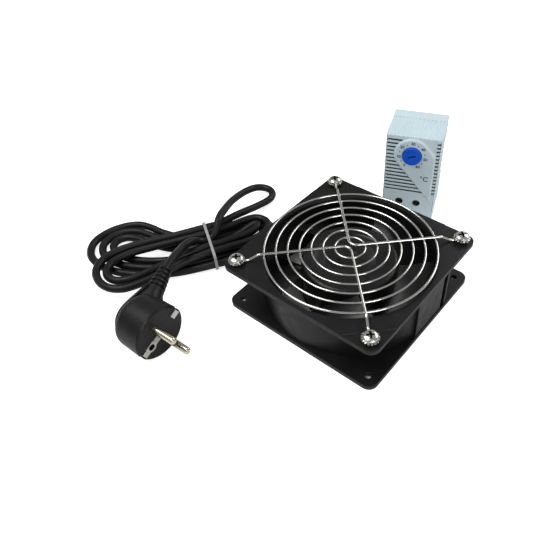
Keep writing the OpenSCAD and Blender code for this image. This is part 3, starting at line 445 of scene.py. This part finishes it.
LOOKS = {
    # The housing's lighter edge tint is a painted highlight along its edges, with some wear
    "housing": dict(
        name="cast_paint", base=(0.007, 0.007, 0.0075), rough=0.4, spread=0.25, spread_scale=45,
        rough_spread=0.08, bumps=((900, 0.35, 0.05), (160, 0.15, 0.12)), edge=0.45,
        edge_wear_and_highlight_tint=(0.09, 0.09, 0.092), spec=0.25, dust=0.015),
    "impeller": dict(
        name="impeller_plastic", base=(0.009, 0.009, 0.0095), rough=0.32, spread=0.2,
        spread_scale=70, rough_spread=0.07, bumps=((500, 0.12, 0.05),), edge=0.35, spec=0.35,
        dust=0.02),
    "chrome_wire": dict(
        name="chrome_wire", base=(0.74, 0.73, 0.7), rough=0.14, metal=1.0, spread=0.06,
        spread_scale=500, rough_spread=0.08, bumps=((1800, 0.12, 0.02),)),
    "zinc": dict(
        name="zinc_plate", base=(0.62, 0.61, 0.58), rough=0.26, metal=1.0, spread=0.12,
        spread_scale=600, rough_spread=0.12, bumps=((1500, 0.15, 0.02),), edge=0.2),
    "lamination": dict(
        name="lamination", base=(0.38, 0.38, 0.4), rough=0.42, metal=1.0, spread=0.2,
        spread_scale=300, bumps=((700, 0.2, 0.05),), edge=0.15),
    "rotor_steel": dict(
        name="rotor_steel", base=(0.1, 0.1, 0.11), rough=0.4, metal=0.6, spread=0.2,
        spread_scale=200, bumps=((700, 0.2, 0.04),), edge=0.3),
    "bronze": dict(
        name="bronze", base=(0.62, 0.44, 0.2), rough=0.38, metal=1.0, spread=0.2,
        spread_scale=400, bumps=((1600, 0.25, 0.03),), edge=0.15),
    "winding": dict(
        name="winding", base=(0.5, 0.2, 0.07), rough=0.3, metal=0.7, spread=0.3,
        spread_scale=500, bumps=((900, 0.6, 0.15),), coat=0.4),
    "sheath": dict(
        name="sheath", base=(0.007, 0.007, 0.0075), rough=0.42, spread=0.2, spread_scale=90,
        rough_spread=0.08, bumps=((1400, 0.3, 0.03), (90, 0.2, 0.15)), spec=0.25, dust=0.02),
    "moulding": dict(
        name="plug_moulding", base=(0.008, 0.008, 0.0085), rough=0.4, spread=0.2,
        spread_scale=120, rough_spread=0.07, bumps=((1600, 0.3, 0.03),), edge=0.5, spec=0.25,
        dust=0.02),
    "tie": dict(
        name="tie_nylon", base=(0.36, 0.37, 0.38), rough=0.4, spread=0.12, spread_scale=300,
        bumps=((1300, 0.2, 0.03),), edge=0.2),
    "pin": dict(
        name="nickel_brass", base=(0.72, 0.66, 0.52), rough=0.16, metal=1.0, spread=0.1,
        spread_scale=300, rough_spread=0.08, bumps=((1600, 0.15, 0.015),), edge=0.15),
    "clip": dict(
        name="clip_steel", base=(0.6, 0.59, 0.56), rough=0.3, metal=1.0, spread=0.12,
        spread_scale=300, bumps=((1500, 0.15, 0.02),), edge=0.15),
    "cover": dict(
        name="cover_plastic", base=(0.60, 0.73, 0.78), rough=0.5, spread=0.03, spread_scale=60,
        rough_spread=0.06, bumps=((2200, 0.2, 0.02),), edge=0.35),
    "dial": dict(
        name="dial_plastic", base=(0.006, 0.10, 0.66), rough=0.36, spread=0.08,
        spread_scale=200, bumps=((1800, 0.2, 0.02),), edge=0.3),
    "switch": dict(
        name="switch_plastic", base=(0.03, 0.03, 0.035), rough=0.45,
        bumps=((1500, 0.2, 0.02),), edge=0.3),
    "latch": dict(
        name="latch_plastic", base=(0.09, 0.1, 0.11), rough=0.5, bumps=((1500, 0.2, 0.02),),
        edge=0.3),
    "block": dict(
        name="block_plastic", base=(0.05, 0.05, 0.052), rough=0.5, bumps=((1500, 0.2, 0.02),),
        edge=0.3),
    # Ink of the printed scale, and also the colour of the painted shade in the dial's slot
    "ink_and_painted_shade": dict(
        name="scale_ink_and_painted_shade", base=(0.008, 0.01, 0.013), rough=0.6, spread=0.1, spread_scale=800,
        bumps=((2500, 0.2, 0.01),)),
    "screw": dict(
        name="screw_zinc", base=(0.66, 0.65, 0.61), rough=0.24, metal=1.0, spread=0.1,
        spread_scale=600, rough_spread=0.08, bumps=((1500, 0.12, 0.02),), edge=0.2),
    "well_screw": dict(
        name="well_screw", base=(0.2, 0.2, 0.19), rough=0.35, metal=1.0, spread=0.15,
        spread_scale=500, bumps=((1500, 0.15, 0.02),), edge=0.15),
}
MATS = {look: material(**values) for look, values in LOOKS.items()}

# Painted shade in the cross recesses of the four guard screws, which stand at HOLE_R from the axis
# in x and in y
HOLE_R = 52.4
HEAD_TOP = 43.45
RECESS_L = 5.2
RECESS_W = 1.3
RECESS_H = 1.9
RECESS_TURN = 45
# Colour of the painted shade in the recesses
RECESS_PAINTED_SHADE = (0.05, 0.05, 0.05)
# How far the box of painted shade goes past a recess at its sides, below and above
SIDE_SLACK = 0.08
LOW_SLACK = 0.1
TOP_SLACK = 0.2

# Thermostat's frame, and the box that holds its inside, with the vents' depths, where shade is
# painted on the cover
TH_PLACE = (-12, 92, 0)
TH_TURN = 22
TH_INSIDE = ((-19.3, 0.3, 1), (19.3, 24.5, 70.5))
TH_INSIDE_PAINTED_SHADE = (0.035, 0.05, 0.06)
TH_INSIDE_SHADE_SHARE = 0.9


# Painted shade: the screws' colour goes dark inside their cross recesses
def paint_shade_in_recesses():
    for along, across in ((RECESS_L, RECESS_W), (RECESS_W, RECESS_L)):
        reach_x = along / 2 + SIDE_SLACK
        reach_y = across / 2 + SIDE_SLACK
        cross = box_mask(MATS["screw"], (HOLE_R, HOLE_R, HEAD_TOP), RECESS_TURN,
                         (-reach_x, -reach_y, -RECESS_H - LOW_SLACK),
                         (reach_x, reach_y, TOP_SLACK), folded=True)
        tint(MATS["screw"], cross, RECESS_PAINTED_SHADE)


# Painted shade: the cover's colour goes dark inside this box, in the vents and within the cover
def paint_shade_inside_cover():
    inside = box_mask(MATS["cover"], TH_PLACE, TH_TURN, *TH_INSIDE)
    tint(MATS["cover"], inside, TH_INSIDE_PAINTED_SHADE, TH_INSIDE_SHADE_SHARE)


paint_shade_in_recesses()
paint_shade_inside_cover()

NODES_BY_LOOK = {
    "housing": ("inlet_flange", "outlet_flange", "duct", "motor_frame"),
    "impeller": ("impeller",),
    "rotor_steel": ("rotor_cup",),
    "lamination": ("stator_core", "rotor_core"),
    "winding": ("windings",),
    "bronze": ("bearings", "th_bimetal"),
    "zinc": ("terminal_blades", "shaft", "shaft_clip", "toothed_washers", "guard_nuts"),
    "chrome_wire": ("guard_rings", "guard_wire_back", "guard_wire_front"),
    "screw": ("guard_screws",),
    "moulding": ("fan_connector", "strain_relief", "plug_body"),
    "sheath": ("cord_lead", "cord_hank", "cord_tail"),
    "tie": ("cable_tie",),
    "pin": ("plug_pins",),
    "clip": ("earth_clips",),
    "cover": ("th_cover", "th_base"),
    "dial": ("th_dial",),
    "block": ("th_cam", "th_terminal_block"),
    "switch": ("th_switch",),
    "well_screw": ("th_terminal_screws",),
    "latch": ("th_rail_latch",),
}


def paint(obj, look):
    """Makes a look the only material of an object."""
    obj.data.materials.clear()
    obj.data.materials.append(MATS[look])


def dress(obj, look, body):
    paint(obj, look)
    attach(obj, body)


for look, names in NODES_BY_LOOK.items():
    for node_name in names:
        paint(NODES[node_name], look)


# The lead
SHEATH_STEPS = 5


def build_lead():
    curve = bpy.data.curves.new("mains_lead", "CURVE")
    curve.dimensions = "3D"
    curve.bevel_depth = CORD_D / 2 * MM
    curve.bevel_resolution = SHEATH_STEPS
    curve.use_fill_caps = True
    spline = curve.splines.new("POLY")
    spline.points.add(len(ROUTE) - 1)
    for point, place in zip(spline.points, ROUTE):
        point.co = [c * MM for c in place] + [1]
    spline.use_smooth = True
    obj = new_object("mains_lead", curve)
    paint(obj, "sheath")
    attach(obj, "set")
    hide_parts("cord_lead", "cord_hank", "cord_tail")


build_lead()


# Impeller with smooth blades, to the source's measures
HUB_R = 32.5
BLADE_TIP_R = 55.2
BLADE_BITE = 0.6
BLADE_COUNT = 5
BLADE_TURN = 2
BLADE_ROWS = 16
BLADE_COLS = 28
BLADE_ROOT_SPAN = 50
BLADE_TIP_SPAN = 57
BLADE_SWEEP = 9
BLADE_MID_Z = 19.4
BLADE_H = 22
BLADE_CAMBER = 1.8
BLADE_T = 2.2
BLADE_TIP_T_SHARE = 0.55
BLADE_EDGE_SHARE = 0.35
BLADE_CUT_SHARE = 0.14

# The hub lies on the rotor cup, whose boss stands on the bearing tube
PLATE_LIFT = 0.5
PLATE_T = 3
BEARING_H = 6
TUBE_SPAN = 9.5
SEAT = 0.3
CUP_BOSS_H = 5.7
CUP_TOP = PLATE_LIFT + PLATE_T + BEARING_H + TUBE_SPAN + BEARING_H + SEAT + CUP_BOSS_H
CUP_R = 30
HUB_TOP_T = 2
HUB_TOP = CUP_TOP + HUB_TOP_T
HUB_RIM_Z = 6
HUB_LIP = (30.6, 5.9)
HUB_FILLET = 3
HUB_FILLET_STEP = 9
HUB_SIDES = 128
# Radius and depth under the hub's top, from the shoulder inwards: the rim of the dish, a fine
# groove in its floor, and the recess in the middle
HUB_CROWN = ((23.4, 0), (23.15, 0.12), (22.85, 0.38), (22.6, 0.5), (17.2, 0.5), (16.9, 0.62),
             (16.6, 0.5), (6, 0.5), (5.6, 0.9), (5.2, 1.0), (0, 1.0))
SKIN_JOINT_METRES = 1e-6
CRISP_ANGLE = 35


def blade_point(t, s, side):
    """A point of the blade: t runs from hub to tip, s from the trailing to the leading edge."""
    share = 1 - BLADE_CUT_SHARE * t ** 5
    r = HUB_R - BLADE_BITE + (BLADE_TIP_R - HUB_R + BLADE_BITE) * t
    span = (BLADE_ROOT_SPAN + (BLADE_TIP_SPAN - BLADE_ROOT_SPAN) * t) * share
    a = math.radians(BLADE_SWEEP * t * t + (s - 0.5) * span)
    z = BLADE_MID_Z + (s - 0.5) * BLADE_H * share + 4 * BLADE_CAMBER * s * (1 - s)
    half = (BLADE_T / 2 * (1 - (1 - BLADE_TIP_T_SHARE) * t)
            * (BLADE_EDGE_SHARE + (1 - BLADE_EDGE_SHARE) * math.sin(math.pi * s)))
    return Vector((r * math.cos(a), r * math.sin(a), z + side * half))


def add_blade(verts, faces, turn):
    """Adds a blade of two skins with a strip of faces along each edge."""
    rows = BLADE_ROWS
    cols = BLADE_COLS
    base = len(verts)
    turned = Matrix.Rotation(math.radians(turn), 3, "Z")
    for side in (1, -1):
        for i in range(rows + 1):
            for j in range(cols + 1):
                verts.append(turned @ blade_point(i / rows, j / cols, side) * MM)

    def at(i, j, skin):
        return base + (skin * (rows + 1) + i) * (cols + 1) + j

    for i in range(rows):
        for j in range(cols):
            faces.append((at(i, j, 0), at(i, j + 1, 0), at(i + 1, j + 1, 0), at(i + 1, j, 0)))
            faces.append((at(i, j, 1), at(i + 1, j, 1), at(i + 1, j + 1, 1), at(i, j + 1, 1)))
    for j in range(cols):
        faces.append((at(0, j + 1, 0), at(0, j, 0), at(0, j, 1), at(0, j + 1, 1)))
        faces.append((at(rows, j, 0), at(rows, j + 1, 0), at(rows, j + 1, 1), at(rows, j, 1)))
    for i in range(rows):
        faces.append((at(i, 0, 0), at(i + 1, 0, 0), at(i + 1, 0, 1), at(i, 0, 1)))
        faces.append((at(i + 1, cols, 0), at(i, cols, 0), at(i, cols, 1), at(i + 1, cols, 1)))


def hub_profile():
    """Radius and height from the cup's top, round the rim's lip and over the shoulder."""
    profile = [(0, CUP_TOP), (CUP_R, CUP_TOP), (CUP_R, HUB_RIM_Z), HUB_LIP, (HUB_R, HUB_RIM_Z)]
    for angle in range(0, 91, HUB_FILLET_STEP):
        a = math.radians(angle)
        profile.append((HUB_R - HUB_FILLET + HUB_FILLET * math.cos(a),
                        HUB_TOP - HUB_FILLET + HUB_FILLET * math.sin(a)))
    return profile + [(r, HUB_TOP - depth) for r, depth in HUB_CROWN]


def add_hub(verts, faces):
    """Adds the hub, turned from its profile."""
    profile = hub_profile()
    base = len(verts)
    for r, z in profile:
        for k in range(HUB_SIDES):
            a = 2 * math.pi * k / HUB_SIDES
            verts.append(Vector((r * math.cos(a), r * math.sin(a), z)) * MM)
    for i in range(len(profile) - 1):
        faces += band(base + i * HUB_SIDES, base + (i + 1) * HUB_SIDES, HUB_SIDES)


def join_skins(editable):
    bmesh.ops.remove_doubles(editable, verts=editable.verts, dist=SKIN_JOINT_METRES)
    face_outwards(editable)


def build_impeller():
    verts = []
    faces = []
    for blade in range(BLADE_COUNT):
        add_blade(verts, faces, BLADE_TURN + 360 / BLADE_COUNT * blade)
    add_hub(verts, faces)
    obj = new_object("impeller_moulding", mesh_from("impeller_moulding", verts, faces))
    edit_mesh(obj.data, join_skins)
    sharpen(obj, CRISP_ANGLE)
    dress(obj, "impeller", "rotor")
    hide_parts("impeller")


build_impeller()


# Thermostat's lettering, on a frame with its first axis to the right along the raised panel,
# its second up and its third out of it
PANEL_T = 1.5
TH = Matrix.Translation(Vector(TH_PLACE) * MM) @ Matrix.Rotation(math.radians(TH_TURN), 4, "Z")
PANEL = TH @ Matrix.Translation(Vector((0, -PANEL_T, 0)) * MM)
FACE = PANEL @ Matrix.Rotation(math.radians(90), 4, "X")

INK_T = 0.03
INK_SWELL = 0.07
INK_LIFT = 0.02
LETTER_STEPS = 4

DIAL_Z = 57.5
NUMERALS = ("0", "10", "20", "30", "40", "50", "60")
NUMERAL_SIZE = 3.1
NUMERAL_R = 9.9
SCALE_START = -150
SCALE_STEP = 50
UNIT_PLACE = (10.4, 38.8)
UNIT_SIZE = 5.6
DOT_R = 0.42
DOT_H = 0.05
DOT_SIDES = 12
DOT_RING_R = 9.4


def on_scale(mark, r):
    """Place on the panel at r from the dial's centre, where numeral 0 is mark 0."""
    a = math.radians(SCALE_START + SCALE_STEP * mark)
    return r * math.sin(a), DIAL_Z + r * math.cos(a)


def build_words(name, text, place, size):
    """Printed characters on the raised panel, centred at a place."""
    curve = bpy.data.curves.new(name, "FONT")
    curve.body = text
    curve.size = size * MM
    curve.align_x = "CENTER"
    curve.align_y = "CENTER"
    curve.extrude = INK_T * MM
    curve.offset = INK_SWELL * MM
    curve.resolution_u = LETTER_STEPS
    letters = new_object(name, curve)
    letters.matrix_world = FACE @ Matrix.Translation(Vector((*place, INK_LIFT)) * MM)
    bpy.context.view_layer.update()
    evaluated = letters.evaluated_get(bpy.context.evaluated_depsgraph_get())
    mesh = bpy.data.meshes.new_from_object(evaluated)
    mesh.transform(letters.matrix_world)
    bpy.data.objects.remove(letters)
    dress(new_object(name, mesh), "ink_and_painted_shade", "set")


def build_dots():
    """A flat dot between each two numerals."""
    verts = []
    faces = []
    for gap in range(len(NUMERALS) - 1):
        x, y = on_scale(gap + 0.5, DOT_RING_R)
        low = len(verts)
        high = low + DOT_SIDES
        for level in (0, DOT_H):
            for k in range(DOT_SIDES):
                a = 2 * math.pi * k / DOT_SIDES
                corner = Vector((x + DOT_R * math.cos(a), y + DOT_R * math.sin(a), level))
                verts.append(FACE @ (corner * MM))
        faces.append(tuple(range(high, high + DOT_SIDES)))
        faces += band(low, high, DOT_SIDES)
    dots = new_object("scale_dots", mesh_from("scale_dots", verts, faces, smooth=False))
    dress(dots, "ink_and_painted_shade", "set")


for mark, numeral in enumerate(NUMERALS):
    build_words("numeral_%d" % mark, numeral, on_scale(mark, NUMERAL_R), NUMERAL_SIZE)
build_words("degree_mark", "°C", UNIT_PLACE, UNIT_SIZE)
build_dots()


# Painted shade: a dark plate on the floor of the dial's slot, which turns with the dial
SLOT_L = 5.9
SLOT_W = 1.3
SLOT_TURN = 24
SLOT_FLOOR = 0.81
SLOT_SIDES = 24
# Height and set-in of each ring, up to the chamfered rim
SLOT_RINGS = ((0, 0), (0.04, 0), (0.08, 0.06))


def build_slot_shade():
    end_r = SLOT_W / 2
    straight = SLOT_L / 2 - end_r
    turned = Matrix.Rotation(math.radians(SLOT_TURN), 3, "Z")
    verts = []
    faces = []
    for height, inset in SLOT_RINGS:
        for k in range(SLOT_SIDES):
            a = 2 * math.pi * (k + 0.5) / SLOT_SIDES
            x = math.copysign(straight, math.cos(a)) + (end_r - inset) * math.cos(a)
            corner = turned @ Vector((x, (end_r - inset) * math.sin(a), 0))
            corner += Vector((0, DIAL_Z, SLOT_FLOOR + height))
            verts.append(FACE @ (corner * MM))
    last = len(SLOT_RINGS) - 1
    for ring in range(last):
        faces += band(ring * SLOT_SIDES, (ring + 1) * SLOT_SIDES, SLOT_SIDES)
    for ring in (0, last):
        faces.append(tuple(range(ring * SLOT_SIDES, (ring + 1) * SLOT_SIDES)))
    mesh = mesh_from("dial_slot_shade", verts, faces, smooth=False)
    shade = new_object("dial_slot_shade", mesh)
    dress(shade, "ink_and_painted_shade", "dial")


build_slot_shade()


# Stage and light. The lamps' places, aims and sizes are in metres and their power in watts.
FLOOR_REACH_METRES = 3
FLOOR_COLOUR = (0.9, 0.9, 0.9, 1)
FLOOR_GLOW = 0.75
WHITE = (1, 1, 1, 1)
# The floor's glow starts between these distances from the fan's axis; nearer in, the floor stays
# darker as a painted shadow under the fan
PAINTED_SHADOW_UNDER_FAN = (57, 59)
ROOM_LIGHT = 0.3
LAMPS = {
    "key": dict(place=(-0.35, -0.25, 0.85), aim=(-0.03, 0, 0), size=(0.6, 0.5), power=5.2),
    "side": dict(place=(0.75, -0.35, 0.5), aim=(0, 0, 0.02), size=(0.35, 0.35), power=2.6),
    "back": dict(place=(0.15, 0.8, 0.6), aim=(0, 0, 0.02), size=(0.7, 0.3), power=2.6),
}


def seen_directly(tree):
    """A socket that gives 1 to the camera's rays and those through glass, and 0 to others."""
    rays = add_node(tree, "LightPath").outputs
    return calculate(tree, "MAXIMUM", rays["Is Camera Ray"], rays["Is Transmission Ray"])


def build_floor():
    """Pale floor that glows where it is seen directly; inside the fan's footprint it has no glow, a
    painted shadow.
    """
    reach = FLOOR_REACH_METRES
    corners = [(-reach, -reach, 0), (reach, -reach, 0), (reach, reach, 0), (-reach, reach, 0)]
    floor = new_object("floor", mesh_from("floor", corners, [(0, 1, 2, 3)], smooth=False))
    made = bpy.data.materials.new("studio_floor")
    made.use_nodes = True
    tree = made.node_tree
    place = add_node(tree, "NewGeometry").outputs["Position"]
    folded = add_node(tree, "VectorMath", {0: place}, operation="ABSOLUTE")
    axes = add_node(tree, "SeparateXYZ", {0: folded.outputs["Vector"]})
    from_axis = calculate(tree, "MAXIMUM", axes.outputs["X"], axes.outputs["Y"])
    # Painted shadow: no glow inside the fan's footprint
    outside = remap(tree, from_axis, PAINTED_SHADOW_UNDER_FAN[0] * MM, PAINTED_SHADOW_UNDER_FAN[1] * MM)
    seen = calculate(tree, "MULTIPLY", seen_directly(tree), outside)
    fill(tree, tree.nodes["Principled BSDF"], {
        "Base Color": FLOOR_COLOUR, "Roughness": 0.8, "Specular IOR Level": 0.1,
        "Emission Color": WHITE, "Emission Strength": calculate(tree, "MULTIPLY", seen, FLOOR_GLOW)})
    floor.data.materials.append(made)


def build_room():
    """A world that is white where it is seen directly and dimmer as a light."""
    world = bpy.data.worlds.new("studio")
    bpy.context.scene.world = world
    world.use_nodes = True
    tree = world.node_tree
    tree.nodes.clear()
    seen = add_node(tree, "Background", {"Color": WHITE, "Strength": 1})
    lit = add_node(tree, "Background", {"Color": WHITE, "Strength": ROOM_LIGHT})
    mix = add_node(tree, "MixShader", {"Fac": seen_directly(tree), 1: lit.outputs[0],
                                       2: seen.outputs[0]})
    add_node(tree, "OutputWorld", {"Surface": mix.outputs[0]})


def build_lamp(name, place, aim, size, power):
    data = bpy.data.lights.new(name, "AREA")
    data.shape = "RECTANGLE"
    data.size, data.size_y = size
    data.energy = power
    lamp = new_object(name, data)
    lamp.location = place
    heading = Vector(aim) - Vector(place)
    lamp.rotation_euler = heading.to_track_quat("-Z", "Y").to_euler()


build_floor()
build_room()
for lamp_name, values in LAMPS.items():
    build_lamp(lamp_name, **values)
bpy.context.scene.view_settings.view_transform = "Standard"
